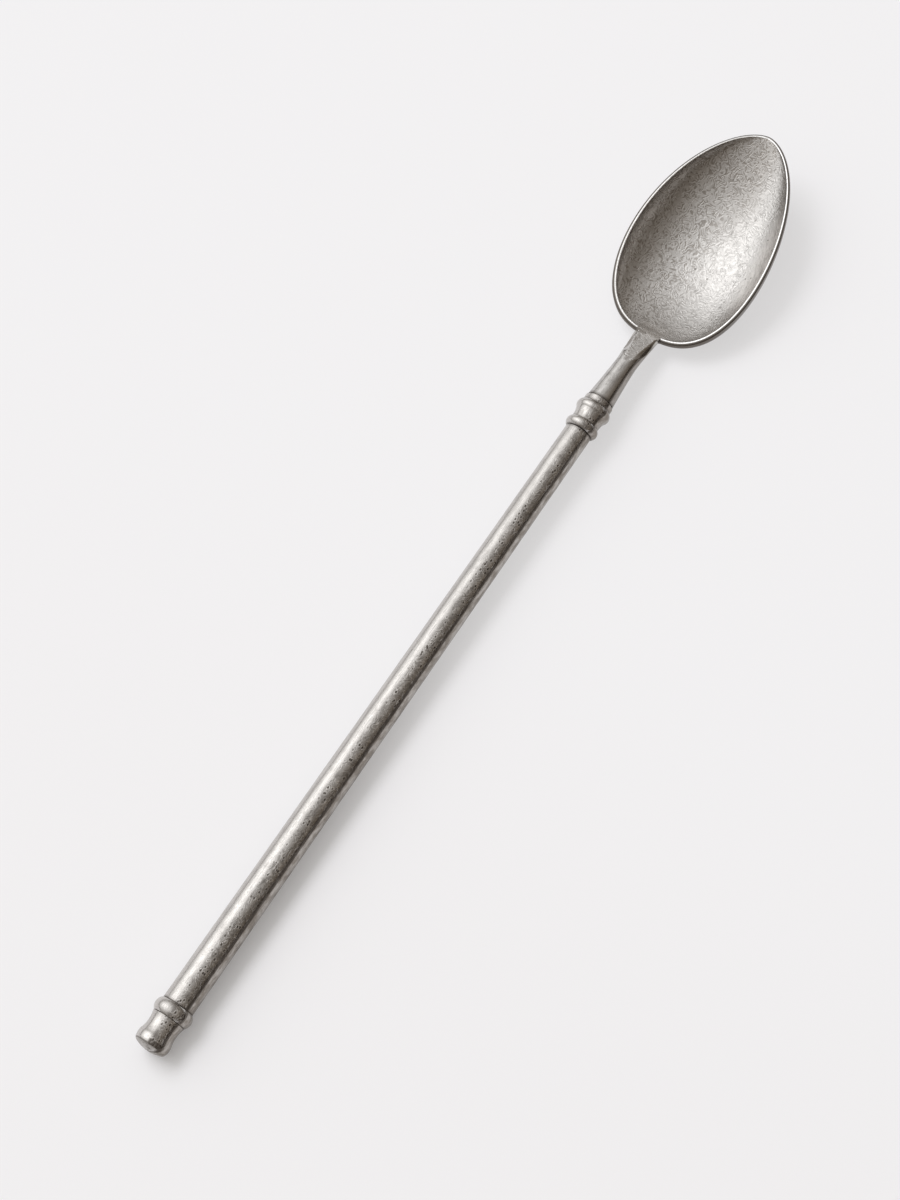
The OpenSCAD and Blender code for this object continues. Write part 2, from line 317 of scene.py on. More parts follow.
def unlaid(points):
    """The stations, left and up, in millimetres, of points in the row frame."""
    points = np.asarray(points, float) / MM
    x, z = points[..., 0] - TUBE_PLACE_X, points[..., 2] - TUBE_PLACE_Z
    along = x * math.cos(TILT) + z * math.sin(TILT)
    up = -x * math.sin(TILT) + z * math.cos(TILT)
    return np.stack([along + TUBE_X, points[..., 1], up], axis=-1)


def ramp(value, low, high):
    """0 below the low value, 1 over the high one, and smooth between."""
    share = np.clip((value - low) / (high - low), 0, 1)
    return share * share * (3 - 2 * share)


def fall(value, low, high):
    """1 below the low value, 0 over the high one, and smooth between."""
    return ramp(-value, -high, -low)


def near(value, middle, inner, outer):
    """1 within the inner distance of the middle, 0 past the outer one, and smooth between."""
    return fall(np.abs(value - middle), inner, outer)


# Meshes


def ring_faces(rings, count):
    """Quads that join rings of equal count, given one ring after another."""
    faces = []
    for k in range(rings - 1):
        for i in range(count):
            a = k * count + i
            b = k * count + (i + 1) % count
            faces.append((b, a, a + count, b + count))
    return faces


def fanned(rings):
    """Rings of points closed by a fan at each end, as points and faces."""
    rings = np.asarray(rings, float)
    total, count = rings.shape[0], rings.shape[1]
    poles = [rings[0].mean(axis=0), rings[-1].mean(axis=0)]
    points = np.vstack([rings.reshape(-1, 3), *poles])
    faces = ring_faces(total, count)
    last = (total - 1) * count
    for i in range(count):
        j = (i + 1) % count
        faces.append((total * count, i, j))
        faces.append((total * count + 1, last + j, last + i))
    return points, faces


def looped(rings):
    """Rings of points that close on the first ring, as points and faces."""
    rings = np.asarray(rings, float)
    total, count = rings.shape[0], rings.shape[1]
    faces = ring_faces(total, count)
    last = (total - 1) * count
    for i in range(count):
        j = (i + 1) % count
        faces.append((last + j, last + i, i, j))
    return rings.reshape(-1, 3), faces


def rumple(points, size, depth, seed):
    """A smooth random height for each point, between minus the depth and nothing."""
    offset = Vector((seed * 13.7, seed * 5.1, seed * 9.3))
    heights = np.array([noise.noise(Vector(point) / size + offset) for point in points])
    return depth * (np.clip(heights, -1, 1) - 1) / 2


def new_object(name, points, faces):
    mesh = bpy.data.meshes.new(name)
    mesh.from_pydata(laid(points).tolist(), [], faces)
    made = bpy.data.objects.new(name, mesh)
    bpy.context.scene.collection.objects.link(made)
    return made


def finish_piece(piece, node, sharp_degrees):
    """Holds a piece within its node's box, shades it and gives it its place in the part."""
    low, high = (np.array(corner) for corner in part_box(node))
    inside = HELD_INSIDE * MM
    mesh = piece.data
    places = np.empty(len(mesh.vertices) * 3)
    mesh.vertices.foreach_get("co", places)
    held = np.clip(places.reshape(-1, 3), low + inside, high - inside)
    mesh.vertices.foreach_set("co", held.ravel())
    mesh.shade_smooth()
    mesh.set_sharp_from_angle(angle=math.radians(sharp_degrees))
    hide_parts(node)
    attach(piece, ROOT)


def mark(piece, name, values):
    """Keeps one number for each point of the mesh, for its material."""
    attribute = piece.data.attributes.new(name, "FLOAT", "POINT")
    attribute.data.foreach_set("value", np.asarray(values, float))


# The egg-shaped bowl


def arch(u, start, end):
    """From 0 over 1 to 0 again, with a power law at each end."""
    peak = start / (start + end)
    u = np.clip(u, 0, 1)
    return (u / peak) ** start * ((1 - u) / (1 - peak)) ** end


def vault(q, square):
    """Height of a superellipse over its half-width."""
    return np.clip(1 - np.clip(np.abs(q), 0, 1) ** square, 0, 1) ** (1 / square)


def egg_half(u, margin):
    """Half the width of the outline, drawn in by a margin, at a share of its length."""
    return (BOWL_W / 2 - margin) * arch(u, NECK_WIDTH_SHARE, TIP_WIDTH_SHARE)


def egg_outline(turns, margin):
    """The bowl's outline from above, drawn in by a margin, at turns in degrees from the neck."""
    u = (1 - np.cos(np.radians(turns))) / 2
    x = BOWL_X + margin + (BOWL_L - 2 * margin) * u
    return np.stack([x, np.sign(np.sin(np.radians(turns))) * egg_half(u, margin)], axis=-1)


def egg_margin(p):
    """How far inside the outline each point lies, found by halving, up to a millimetre."""
    low, high = np.zeros(len(p)), np.ones(len(p))
    for _ in range(20):
        middle = (low + high) / 2
        u = (p[:, 0] - BOWL_X - middle) / (BOWL_L - 2 * middle)
        inside = (np.abs(p[:, 1]) <= egg_half(u, middle)) & (u > 0) & (u < 1)
        low = np.where(inside, middle, low)
        high = np.where(inside, high, middle)
    return low


def rim_z(x):
    """Height of the rim, which climbs towards the tip."""
    share = np.clip((x - BOWL_X) / BOWL_L, 0, 1)
    return RIM_RISE * np.sin(math.pi / 2 * share) - RIM_DROP


def hung_z(p, margin, step, depth, neck_share):
    """Height of a surface that hangs below the rim."""
    u = (p[..., 0] - BOWL_X - margin) / (BOWL_L - 2 * margin)
    half = np.maximum(egg_half(u, margin), 1e-6)
    hang = arch(u, neck_share, TIP_DEPTH_SHARE) * vault(p[..., 1] / half, BOWL_SQUARE)
    return rim_z(p[..., 0]) - step - (depth - step) * hang


def bowl_shell():
    """The outer wall, the rim's bevel, land and inner edge, and the hollow, ring by ring."""
    around, across, rounding = 360, 80, 6
    turns = np.arange(around) * 360 / around
    middle = np.array([BOWL_X + BOWL_L * MIDDLE_SHARE, 0])
    shares = np.sin(math.pi / 2 * np.linspace(0.02, 0.995, across))
    margin = RIM_BEVEL_W + RIM_LAND
    rings = []
    for share in shares:
        p = middle + share * (egg_outline(turns, 0) - middle)
        z = hung_z(p, 0, RIM_BEVEL_H, BOWL_DEPTH + BOWL_WALL, OUTER_NECK_SHARE)
        rings.append(np.column_stack([p, z]))
    for angle in np.radians(np.linspace(0, 90, rounding)):
        p = egg_outline(turns, RIM_BEVEL_W * (1 - math.cos(angle)))
        z = rim_z(p[:, 0]) - RIM_BEVEL_H * (1 - math.sin(angle))
        rings.append(np.column_stack([p, z]))
    for share in np.linspace(0.12, 0.88, rounding):
        p = egg_outline(turns, RIM_BEVEL_W + share * (RIM_LAND - RIM_EDGE))
        rings.append(np.column_stack([p, rim_z(p[:, 0]) + RIM_CROWN * 4 * share * (1 - share)]))
    for angle in np.radians(np.linspace(0, 90, rounding)):
        p = egg_outline(turns, margin - RIM_EDGE * (1 - math.sin(angle)))
        z = rim_z(p[:, 0]) - RIM_EDGE * (1 - math.cos(angle))
        rings.append(np.column_stack([p, z]))
    for share in shares[::-1]:
        p = middle + share * (egg_outline(turns, margin) - middle)
        z = hung_z(p, margin, RIM_EDGE, BOWL_DEPTH, INNER_NECK_SHARE)
        rings.append(np.column_stack([p, z]))
    return new_object("bowl_shell", *fanned(rings))


# The stem with its filed flat, and the tang behind it


def stem_along(x):
    """0 at the collar and 1 at the bowl."""
    return max(0.0, (x - STEM_X) / (BOWL_X - STEM_X))


def stem_half(x):
    """Half the width of the stem, which is slimmest at its waist."""
    if x < WAIST_X:
        back = (WAIST_X - x) / (WAIST_X - STEM_X)
        return STEM_WAIST_D / 2 + (STEM_BACK_D - STEM_WAIST_D) / 2 * back**TAPER_SHARE
    front = (x - WAIST_X) / (BOWL_X - WAIST_X)
    return STEM_WAIST_D / 2 + (NECK_W - STEM_WAIST_D) / 2 * front**FLARE_SHARE


def stem_thick(x):
    """Half the thickness of the stem, which is flatter towards the bowl."""
    return stem_half(x) - (NECK_W - NECK_T) / 2 * stem_along(x) ** SINK_SHARE


def stem_z(x):
    """Height of the stem's middle, which sinks towards the bowl."""
    return -NECK_DROP * stem_along(x) ** SINK_SHARE


def stem_middle(x):
    """The same height at many stations, level past the bowl's end."""
    return -NECK_DROP * np.clip((x - STEM_X) / (BOWL_X - STEM_X), 0, 1) ** SINK_SHARE


FACET_X = BOWL_X - FACET_L
FACET_TOP = stem_z(FACET_X) + stem_thick(FACET_X)
FACET_SLOPE = math.atan((FACET_TOP - FACET_AIM) / FACET_L)
ROLL_X = BOWL_X - ROLL_L
ROLL_CENTRE_X = ROLL_X - ROLL_R * math.sin(FACET_SLOPE)
ROLL_CENTRE_Z = (
    FACET_TOP - (ROLL_X - FACET_X) * math.tan(FACET_SLOPE) - ROLL_R * math.cos(FACET_SLOPE)
)
ROOT_X = BOWL_X + ROOT_L


def facet_z(x):
    """Height of the filed flat, which rolls over into the bowl."""
    if x < ROLL_X:
        return FACET_TOP - (x - FACET_X) * math.tan(FACET_SLOPE)
    return ROLL_CENTRE_Z + math.sqrt(ROLL_R**2 - (x - ROLL_CENTRE_X) ** 2)


def flat_half(x):
    """Half the width of the filed flat, which narrows to a point towards the handle."""
    share = np.clip((x - FACET_X) / FACET_L, 0, 1)
    return FACET_HALF_FROM + (FACET_HALF_TO - FACET_HALF_FROM) * share**FLAT_SHARE


def soft_min(a, b, softness):
    """The lower of two heights, with a rounded edge where they cross."""
    h = np.clip(0.5 + 0.5 * (b - a) / softness, 0, 1)
    return b + (a - b) * h - softness * h * (1 - h)


def round_section(x, r, count):
    """A ring of points round the axis."""
    turns = np.radians(np.arange(count) * 360 / count)
    return np.column_stack([np.full(count, x), r * np.cos(turns), -r * np.sin(turns)])


def stem_section(x, count):
    """A ring of the stem, cut by the filed flat and, before the bowl, by its chamfered sides."""
    turns = np.radians(np.arange(count) * 360 / count)
    square = 2 + NECK_SQUARE * stem_along(x) ** SINK_SHARE
    cos, sin = np.cos(turns), np.sin(turns)
    y = stem_half(x) * np.sign(cos) * np.abs(cos) ** (2 / square)
    z = stem_z(x) - stem_thick(x) * np.sign(sin) * np.abs(sin) ** (2 / square)
    z = soft_min(z, facet_z(x), FACET_SOFTNESS)
    if FACET_X < x < BOWL_X:
        slope = FACET_SIDE_SLOPE * ramp(x, FACET_X, FACET_X + FACET_SIDE_START_L)
        side = facet_z(x) + slope * (flat_half(x) - np.abs(y))
        side = np.maximum(side, stem_z(x) + FACET_SIDE_FOOT)
        z = np.where(z > stem_z(x), soft_min(z, side, FACET_SOFTNESS), z)
    return np.column_stack([np.full(count, x), y, z])


def stem_loft():
    """The pointed tang and the stem, whose end lies inside the bowl's wall."""
    count = 96
    tang_x = STEM_X - TANG_L
    rings = [
        round_section(tang_x, TANG_END_D / 2, count),
        round_section(tang_x + TANG_POINT_L, TANG_D / 2, count),
        round_section(STEM_X, TANG_D / 2, count),
    ]
    rings += [stem_section(x, count) for x in np.linspace(STEM_X, ROOT_X, 170)]
    return new_object("stem_loft", *fanned(rings))


def joined(first, second, name):
    """One clean solid out of two that overlap."""
    join = first.modifiers.new("join", "BOOLEAN")
    join.operation = "UNION"
    join.solver = "EXACT"
    join.object = second
    graph = bpy.context.evaluated_depsgraph_get()
    mesh = bpy.data.meshes.new_from_object(first.evaluated_get(graph))
    made = bpy.data.objects.new(name, mesh)
    bpy.context.scene.collection.objects.link(made)
    bpy.data.objects.remove(first)
    bpy.data.objects.remove(second)
    return made


def numbers_beside(v):
    return [edge.other_vert(v).index for edge in v.link_edges]


def smoothed(piece, weights, turns):
    """Draws each point towards its neighbours, by its weight. They are added up in the order of
    their numbers, so that every run rounds them the same way."""
    mesh = bmesh.new()
    mesh.from_mesh(piece.data)
    mesh.verts.ensure_lookup_table()
    chosen = [v for v in mesh.verts if weights[v.index] > 0]
    groups = [[mesh.verts[n] for n in sorted(numbers_beside(v))] for v in chosen]
    for _ in range(turns):
        means = [sum((other.co for other in group), Vector()) / len(group) for group in groups]
        for v, mean in zip(chosen, means):
            v.co = v.co.lerp(mean, float(weights[v.index]))
    mesh.to_mesh(piece.data)
    mesh.free()


def stations(piece):
    """The station, left and up of each of a piece's points."""
    places = np.empty(len(piece.data.vertices) * 3)
    piece.data.vertices.foreach_get("co", places)
    return unlaid(places.reshape(-1, 3))


def soften_neck(piece):
    """Blends the neck into the bowl's underside."""
    p = stations(piece)
    at_neck = ramp(p[:, 0], *BLEND_START_X) * fall(p[:, 0], *BLEND_END_X)
    below_rim = rim_z(p[:, 0]) - p[:, 2]
    smoothed(piece, BLEND_WEIGHT * at_neck * ramp(below_rim, *BLEND_BELOW), BLEND_ROUNDS)


def mark_bowl(piece):
    """Keeps where the bowl and stem are bright, dirty, tarnished, curled, rubbed and furrowed, and
    where shade, a dark reflection, a sheen and a highlight are painted.
    """
    p = stations(piece)
    x, left, up = p[:, 0], p[:, 1], p[:, 2]
    below_rim = rim_z(x) - up
    margin = egg_margin(p)
    hollow = (x > BOWL_X) * ramp(margin, RIM_BEVEL_W, RIM_BEVEL_W + RIM_LAND)
    outside = (x > BOWL_X - 0.3) * fall(margin, RIM_BEVEL_W - 0.05, RIM_BEVEL_W + 0.05)
    behind = fall(x, BOWL_X - 3, BOWL_X)
    flat_height = np.array([facet_z(at) if FACET_X < at < ROOT_X else 0 for at in x])
    flat = (x > FACET_X) * (x < ROOT_X) * near(up, flat_height, *FLAT_NEAR)

    on_rim = (x > BOWL_X) * near(below_rim, 0, *RIM_NEAR)
    beside_neck = (x > BOWL_X + 2) | (np.abs(left) > NECK_W / 2 - 0.1)
    mark(piece, "rim", on_rim * beside_neck * ramp(margin, RIM_BEVEL_W + 0.02, RIM_BEVEL_W + 0.1))
    # Dirt in the groove by the collar, and painted shade on the outside just under the rim
    groove = near(x, STEM_X, *GROOVE_NEAR)
    under_rim_shade = outside * beside_neck * fall(below_rim, *UNDER_RIM_SHADE)
    mark(piece, "grime_and_shade", np.maximum(GROOVE_SHARE * groove, UNDER_RIM_SHADE_SHARE * under_rim_shade))

    # Tarnish with painted shade on the stem and the bowl's outside, and the painted dark reflection
    # along the stem, turned with the neck
    neck_turn = NECK_DARK_REFLECTION_TURN * ramp(x, WAIST_X - 2, BOWL_X)
    tarnish_and_shade, dark_reflection = weathered_and_shaded(left, up - stem_middle(x), neck_turn)
    # Painted shade on the tip and the left wall of the hollow
    tip_shade = ramp(x, *TIP_SHADE_X) * ramp(left, *TIP_SHADE_LEFT)
    wall_shade = np.maximum(WALL_SHADE_SHARE * ramp(left, *WALL_SHADE_LEFT), TIP_SHADE_SHARE * tip_shade)
    mark(piece, "tarnish_and_shade", np.maximum(tarnish_and_shade * np.maximum(behind, outside), hollow * wall_shade))
    mark(piece, "dark_reflection", dark_reflection * behind)

    from_border = np.abs(left) - flat_half(x) - FACET_SOFTNESS
    on_border = (x > FACET_X + 0.5) * (x < BOWL_X) * near(up, flat_height, *BORDER_HEIGHT)
    mark(piece, "border", on_border * near(from_border, 0, *BORDER_NEAR))
    mark(piece, "curled", np.maximum(hollow, flat))
    # The rubbed band on the right wall, brushed and rougher, with a painted sheen
    along_wall = ramp(x, *RUBBED_SHEEN_X) * fall(x, *RUBBED_SHEEN_END_X)
    mark(piece, "rubbed_sheen", hollow * along_wall * ramp(-left, *RUBBED_SHEEN_RIGHT))
    mark(piece, "furrowed", hollow * np.maximum(ramp(left, *FURROWED_LEFT), tip_shade))
    # Painted highlight on the brow where the neck rolls over
    brow_highlight = near(x, BOWL_X + BROW_HIGHLIGHT_X, *BROW_HIGHLIGHT_HALF_L) * fall(np.abs(left), *BROW_HIGHLIGHT_HALF_W)
    mark(piece, "brow_highlight", brow_highlight * np.maximum(hollow, flat))


def spoon_bowl():
    piece = joined(bowl_shell(), stem_loft(), "spoon_bowl")
    soften_neck(piece)
    finish_piece(piece, "bowl_and_stem", BOWL_SHARP)
    mark_bowl(piece)
    return piece


# Turned pieces


def arc(centre_x, centre_r, radius, start, end, steps):
    """Points of station and radius round a centre, by angles in degrees from the front."""
    angles = np.radians(np.linspace(start, end, steps))
    return [(centre_x + radius * math.cos(a), centre_r + radius * math.sin(a)) for a in angles]


def straight(start, end, spacing):
    """Points of station and radius on a straight line, about as far apart as given."""
    start, end = np.array(start), np.array(end)
    steps = max(1, round(float(np.linalg.norm(end - start)) / spacing))
    return [tuple(start + (end - start) * k / steps) for k in range(steps + 1)]


def bore_r(x):
    """Radius of the tube's bore, which tapers as the tube does."""
    taper = (TUBE_BACK_R - TUBE_FRONT_R) / (COLLAR_X - TUBE_X)
    return TUBE_BACK_R - TUBE_WALL - taper * (x - TUBE_X)


CAP_SPIGOT_R = bore_r(RING_X + CAP_SPIGOT_L) - FIT_GAP
COLLAR_SPIGOT_R = bore_r(COLLAR_X) - FIT_GAP


def cap_profile():
    """The domed end, the squarish roll of the lip and the hollow waist, up to the ring."""
    lip_r = LIP_R - LIP_ROUND
    start = math.asin(((DOME_EDGE_R - lip_r) / LIP_ROUND) ** (LIP_SQUARE / 2))
    roll = [
        (
            LIP_X - LIP_ROUND * math.cos(a) ** (2 / LIP_SQUARE),
            lip_r + LIP_ROUND * math.sin(a) ** (2 / LIP_SQUARE),
        )
        for a in np.linspace(start, math.pi / 2 - 0.02, 24)
    ]
    dome_h = roll[0][0]
    dome_round = (DOME_EDGE_R**2 + dome_h**2) / (2 * dome_h)
    dome_turn = math.degrees(math.asin(DOME_EDGE_R / dome_round))
    cove_x, cove_r = RING_X - CAP_WAIST_L, CAP_WAIST_R + CAP_COVE_R
    cove_end = -90 + math.degrees(math.asin(CAP_WAIST_L / CAP_COVE_R))
    return (
        arc(dome_round, 0, dome_round, 180, 180 - dome_turn, 12)[:-1]
        + roll
        + arc(LIP_X, lip_r, LIP_ROUND, *LIP_BACK, 8)
        + arc(cove_x, cove_r, CAP_COVE_R, CAP_COVE_START, cove_end, 18)
    )


def ring_profile():
    """A half-round bead with a quirk on each side."""
    middle = (RING_X + TUBE_X) / 2
    quirk_r = TUBE_BACK_R - QUIRK_DEPTH
    half = (TUBE_X - RING_X) / 2 - QUIRK_W
    start = math.degrees(math.acos(half / RING_ROUND))
    return (
        [(RING_X, quirk_r), (RING_X + QUIRK_W, quirk_r)]
        + arc(middle, RING_R - RING_ROUND, RING_ROUND, 180 - start, start, 30)
        + [(TUBE_X - QUIRK_W, quirk_r), (TUBE_X, quirk_r)]
    )


def tube_profile():
    """The straight taper of the tube, with broken edges."""
    return (
        [(TUBE_X, TUBE_BACK_R - EDGE)]
        + straight((TUBE_X + EDGE, TUBE_BACK_R), (COLLAR_X - EDGE, TUBE_FRONT_R), 0.5)
        + [(COLLAR_X, TUBE_FRONT_R - EDGE)]
    )


def collar_profile():
    """The small bead, the throat and its flare, the large bead, the step and the groove."""
    small_r = SMALL_BEAD_R - SMALL_BEAD_ROUND
    large_r = LARGE_BEAD_R - LARGE_BEAD_ROUND
    throat_start = math.degrees(math.asin((THROAT_R - small_r) / SMALL_BEAD_ROUND))
    flare_turn = math.degrees(math.asin(FLARE_L / FLARE_ROUND))
    large_end = math.degrees(math.asin((STEP_R - large_r) / LARGE_BEAD_ROUND))
    return (
        arc(COLLAR_X + SMALL_BEAD_ROUND, small_r, SMALL_BEAD_ROUND, 180, throat_start, 26)
        + [(THROAT_X, THROAT_R)]
        + arc(FLARE_X, THROAT_R + FLARE_ROUND, FLARE_ROUND, -90, flare_turn - 90, 16)
        + arc(LARGE_BEAD_X, large_r, LARGE_BEAD_ROUND, LARGE_BEAD_START, large_end, 26)
        + [(STEP_X, STEP_R)]
        + straight((STEP_X + EDGE, STEP_R), (GROOVE_X - EDGE, STEP_R), 0.2)
        + [(GROOVE_X, STEP_R - EDGE), (GROOVE_X, GROOVE_R), (STEM_X, GROOVE_R)]
    )


OUTLINE = np.array(cap_profile() + ring_profile() + tube_profile() + collar_profile())
OUTLINE_X = np.arange(0, STEM_X + 3, OUTLINE_STEP)
OUTLINE_R = np.interp(OUTLINE_X, OUTLINE[:, 0], OUTLINE[:, 1], right=STEM_BACK_D / 2)


def sheltered(x, radii):
    """How deep each point of the outline lies between what stands beside it, from 0 to 1."""
    depth = np.zeros(len(x))
    for shift in np.arange(-SHELTER_REACH, SHELTER_REACH + OUTLINE_STEP / 2, OUTLINE_STEP):
        beside = np.interp(x + shift, OUTLINE_X, OUTLINE_R)
        depth = np.maximum(depth, beside - SHELTER_SLOPE * abs(shift) - radii)
    return ramp(depth, *SHELTER_DEPTH)


def weathered_and_shaded(y, z, turned=0):
    """How tarnished and painted in shade the handle is on the side that faces y and z, and where a
    dark reflection is painted along its upper border.
    """
    facing = np.degrees(np.arctan2(z, y)) % 360 - turned
    from_middle = np.abs((facing - SHADED_SIDE_MIDDLE + 180) % 360 - 180)
    tarnish_and_shade = fall(from_middle, SHADED_SIDE_HALF - SHADED_SIDE_EDGE, SHADED_SIDE_HALF + SHADED_SIDE_EDGE)
    return tarnish_and_shade, near(facing, DARK_REFLECTION_AT, DARK_REFLECTION_HALF / 3, DARK_REFLECTION_HALF)


def mark_turned(piece, flat, radii, shelter, solid):
    """Keeps where a turned piece is dirty, tarnished, painted in shade and with a dark reflection,
    pitted and worn at its end.
    """
    x = flat[:, 0]
    tarnish_and_shade, dark_reflection = weathered_and_shaded(flat[:, 1], flat[:, 2])
    facing = np.degrees(np.arctan2(flat[:, 2], flat[:, 1])) % 360
    past_face = radii > DOME_EDGE_R
    patch = past_face * near(x, PATCH_X, *PATCH_HALF) * near(facing, PATCH_AT, *PATCH_TURN)
    line = past_face * near(x, LINE_X, *LINE_HALF) * near(facing, LINE_AT, *LINE_TURN)
    # The grime is patina in the hollows plus the painted shade of a dark line round the cap's end;
    # the patch on the cap's roll is painted shade as well
    marks = {
        "grime_and_shade": np.maximum(shelter, LINE_SHARE * line),
        "tarnish_and_shade": tarnish_and_shade,
        "dark_reflection": np.maximum(dark_reflection, patch),
        "pitted": near(facing, PITS_AT, PITS_HALF / 2, PITS_HALF),
        "end": fall(x, *END_FACE),
    }
    for name, values in marks.items():
        mark(piece, name, np.append(values, [values[0], 0]) if solid else values)


def turned_piece(name, node, profile, count, unevenness, seed):
    """Turns a profile of station and radius round the axis, each ring a little uneven."""
    profile = np.array(profile, float)
    solid = profile[0][1] == 0
    rings = np.array([round_section(x, max(r, 0.001), count) for x, r in profile])
    flat = rings.reshape(-1, 3)
    radii = np.hypot(flat[:, 1], flat[:, 2])
    shelter = sheltered(flat[:, 0], radii) * (flat[:, 0] > LIP_X)
    heights = rumple(flat, UNEVEN_SIZE, unevenness, seed)
    flat[:, 1:] *= np.maximum(0, 1 + heights / np.maximum(radii, 0.5))[:, None]
    points, faces = fanned(rings) if solid else looped(rings)
    piece = new_object(name, points, faces)
    finish_piece(piece, node, TURNED_SHARP)
    mark_turned(piece, flat, radii, shelter, solid)
    return piece


def handle():
    bore = [(COLLAR_X, bore_r(COLLAR_X)), (TUBE_X, bore_r(TUBE_X))]
    profile = tube_profile() + bore
    return turned_piece("handle", "handle_tube", profile, 128, TUBE_UNEVEN, seed=3)


def collar():
    bore = TANG_D / 2 + FIT_GAP
    start = COLLAR_X - COLLAR_SPIGOT_L
    spigot = [(start, bore), (start, COLLAR_SPIGOT_R), (COLLAR_X, COLLAR_SPIGOT_R)]
    profile = spigot + collar_profile() + [(STEM_X, bore)]
    return turned_piece("collar", "front_collar", profile, 144, COLLAR_UNEVEN, seed=5)


def ring():
    bore = CAP_SPIGOT_R + FIT_GAP
    profile = [(RING_X, bore)] + ring_profile() + [(TUBE_X, bore)]
    return turned_piece("ring", "tail_ring", profile, 144, TAIL_UNEVEN, seed=7)


def cap():
    end = RING_X + CAP_SPIGOT_L
    profile = cap_profile() + [(RING_X, CAP_SPIGOT_R), (end, CAP_SPIGOT_R), (end, 0)]
    return turned_piece("cap", "end_cap", profile, 144, TAIL_UNEVEN, seed=9)


# Materials


class Shading:
    """A tree of shader nodes in the making, for a material or the world."""

    def __init__(self, owner):
        owner.use_nodes = True
        self.tree = owner.node_tree
        self.tree.nodes.clear()

    def node(self, kind, inputs=None, **settings):
        made = self.tree.nodes.new(kind)
        for name, value in settings.items():
            setattr(made, name, value)
        for name, value in (inputs or {}).items():
            if isinstance(value, bpy.types.NodeSocket):
                self.tree.links.new(value, made.inputs[name])
            else:
                made.inputs[name].default_value = value
        return made

    def ramp(self, value, low, high, start=0.0, end=1.0):
        return self.node(
            "ShaderNodeMapRange",
            {0: value, 1: low, 2: high, 3: start, 4: end},
            interpolation_type="SMOOTHSTEP",
        ).outputs[0]

    def math(self, operation, first, second=0.0):
        return self.node("ShaderNodeMath", {0: first, 1: second}, operation=operation).outputs[0]

    def times(self, first, second):
        return self.math("MULTIPLY", first, second)

    def plus(self, first, second):
        return self.math("ADD", first, second)

    def minus(self, first, second):
        return self.math("SUBTRACT", first, second)

    def most(self, first, second):
        return self.math("MAXIMUM", first, second)

    def mix(self, share, first, second):
        return self.node(
            "ShaderNodeMix", {0: share, 6: first, 7: second}, data_type="RGBA"
        ).outputs[2]


class Look(Shading):
    """A procedural material in the making. Sizes are in millimetres on the spoon."""

    def __init__(self, name):
        self.material = bpy.data.materials.new(name)
        super().__init__(self.material)
        self.place = self.node("ShaderNodeTexCoord").outputs["Object"]

    def attribute(self, name):
        return self.node("ShaderNodeAttribute", attribute_name=name).outputs["Fac"]

    def mapped(self, sizes, turn=(0, 0, 0), move=(0, 0, 0)):
        """The place on the spoon, in units of the sizes, turned by degrees first."""
        turned = self.node(
            "ShaderNodeMapping",
            {"Vector": self.place, "Rotation": [math.radians(a) for a in turn]},
        ).outputs[0]
        return self.node(
            "ShaderNodeMapping",
            {"Vector": turned, "Scale": [1 / (size * MM) for size in sizes], "Location": move},
        ).outputs[0]

    def clouds(self, sizes, detail=2, roughness=0.5, turn=(0, 0, 0), move=(0, 0, 0), bend=0):
        return self.node(
            "ShaderNodeTexNoise",
            {
                "Vector": self.mapped(sizes, turn, move),
                "Scale": 1,
                "Detail": detail,
                "Roughness": roughness,
                "Distortion": bend,
            },
        ).outputs["Fac"]

    def stains(self, coarse, fine):
        """Spots with fine edges, out of a coarse and a fine texture."""
        return self.ramp(self.plus(self.times(coarse, 0.8), self.times(fine, 0.4)), 0.5, 0.8)

    def cells(self, sizes):
        return self.node(
            "ShaderNodeTexVoronoi", {"Vector": self.mapped(sizes), "Scale": 1, "Randomness": 1}
        ).outputs["Distance"]

    def curls(self, size, turns, move):
        """Fine curly ridges and furrows in short pieces, from -1 to 1."""
        field = self.clouds((size, size, size), detail=0, move=move, bend=0.9)
        wave = self.math("SINE", self.times(field, turns * math.tau))
        broken = self.clouds((1, 1, 1), detail=1, move=move[::-1])
        return self.times(wave, self.ramp(broken, 0.4, 0.52))

    def ragged(self, share, texture):
        """A share whose edges are broken up by a texture."""
        return self.ramp(self.plus(share, self.times(texture, 1.6)), 1.0, 1.9)

    def scratches(self, length, width, turn, move, rarity):
        """Straight fine lines in one direction, few if the rarity is near 1."""
        lines = self.clouds((length, width, width), detail=0, turn=turn, move=move)
        return self.ramp(lines, rarity, rarity + 0.06)

    def surface(self, color, roughness, height, depth, metallic=1.0):
        """The shader, with a bump as deep as given where the height is 1."""
        bump = self.node(
            "ShaderNodeBump", {"Height": height, "Distance": depth * MM, "Strength": 1.0}
        ).outputs[0]
        shader = self.node(
            "ShaderNodeBsdfPrincipled",
            {"Base Color": color, "Metallic": metallic, "Roughness": roughness, "Normal": bump},
        )
        self.node("ShaderNodeOutputMaterial", {0: shader.outputs[0]})
        return self.material


def grey(level, warmth=0.03):
    """A grey that is a little red, by the warmth."""
    return (level * (1 + warmth), level, level * (1 - warmth), 1)


def pits_and_lips(look, pitted, shift):
    """Small pits in groups, most of them where the mark says, and the bright lips round them."""
    groups = look.ramp(look.clouds((4, 2, 2), 1, move=shift), 0.38, 0.48)
    groups = look.times(groups, look.plus(look.times(pitted, 0.85), 0.15))
    cell = look.cells((1.0, 0.7, 0.7))
    pits = look.times(look.ramp(cell, 0.3, 0.18), groups)
    lips = look.times(look.ramp(cell, 0.28, 0.34), look.ramp(cell, 0.46, 0.38))
    return pits, look.times(lips, groups)


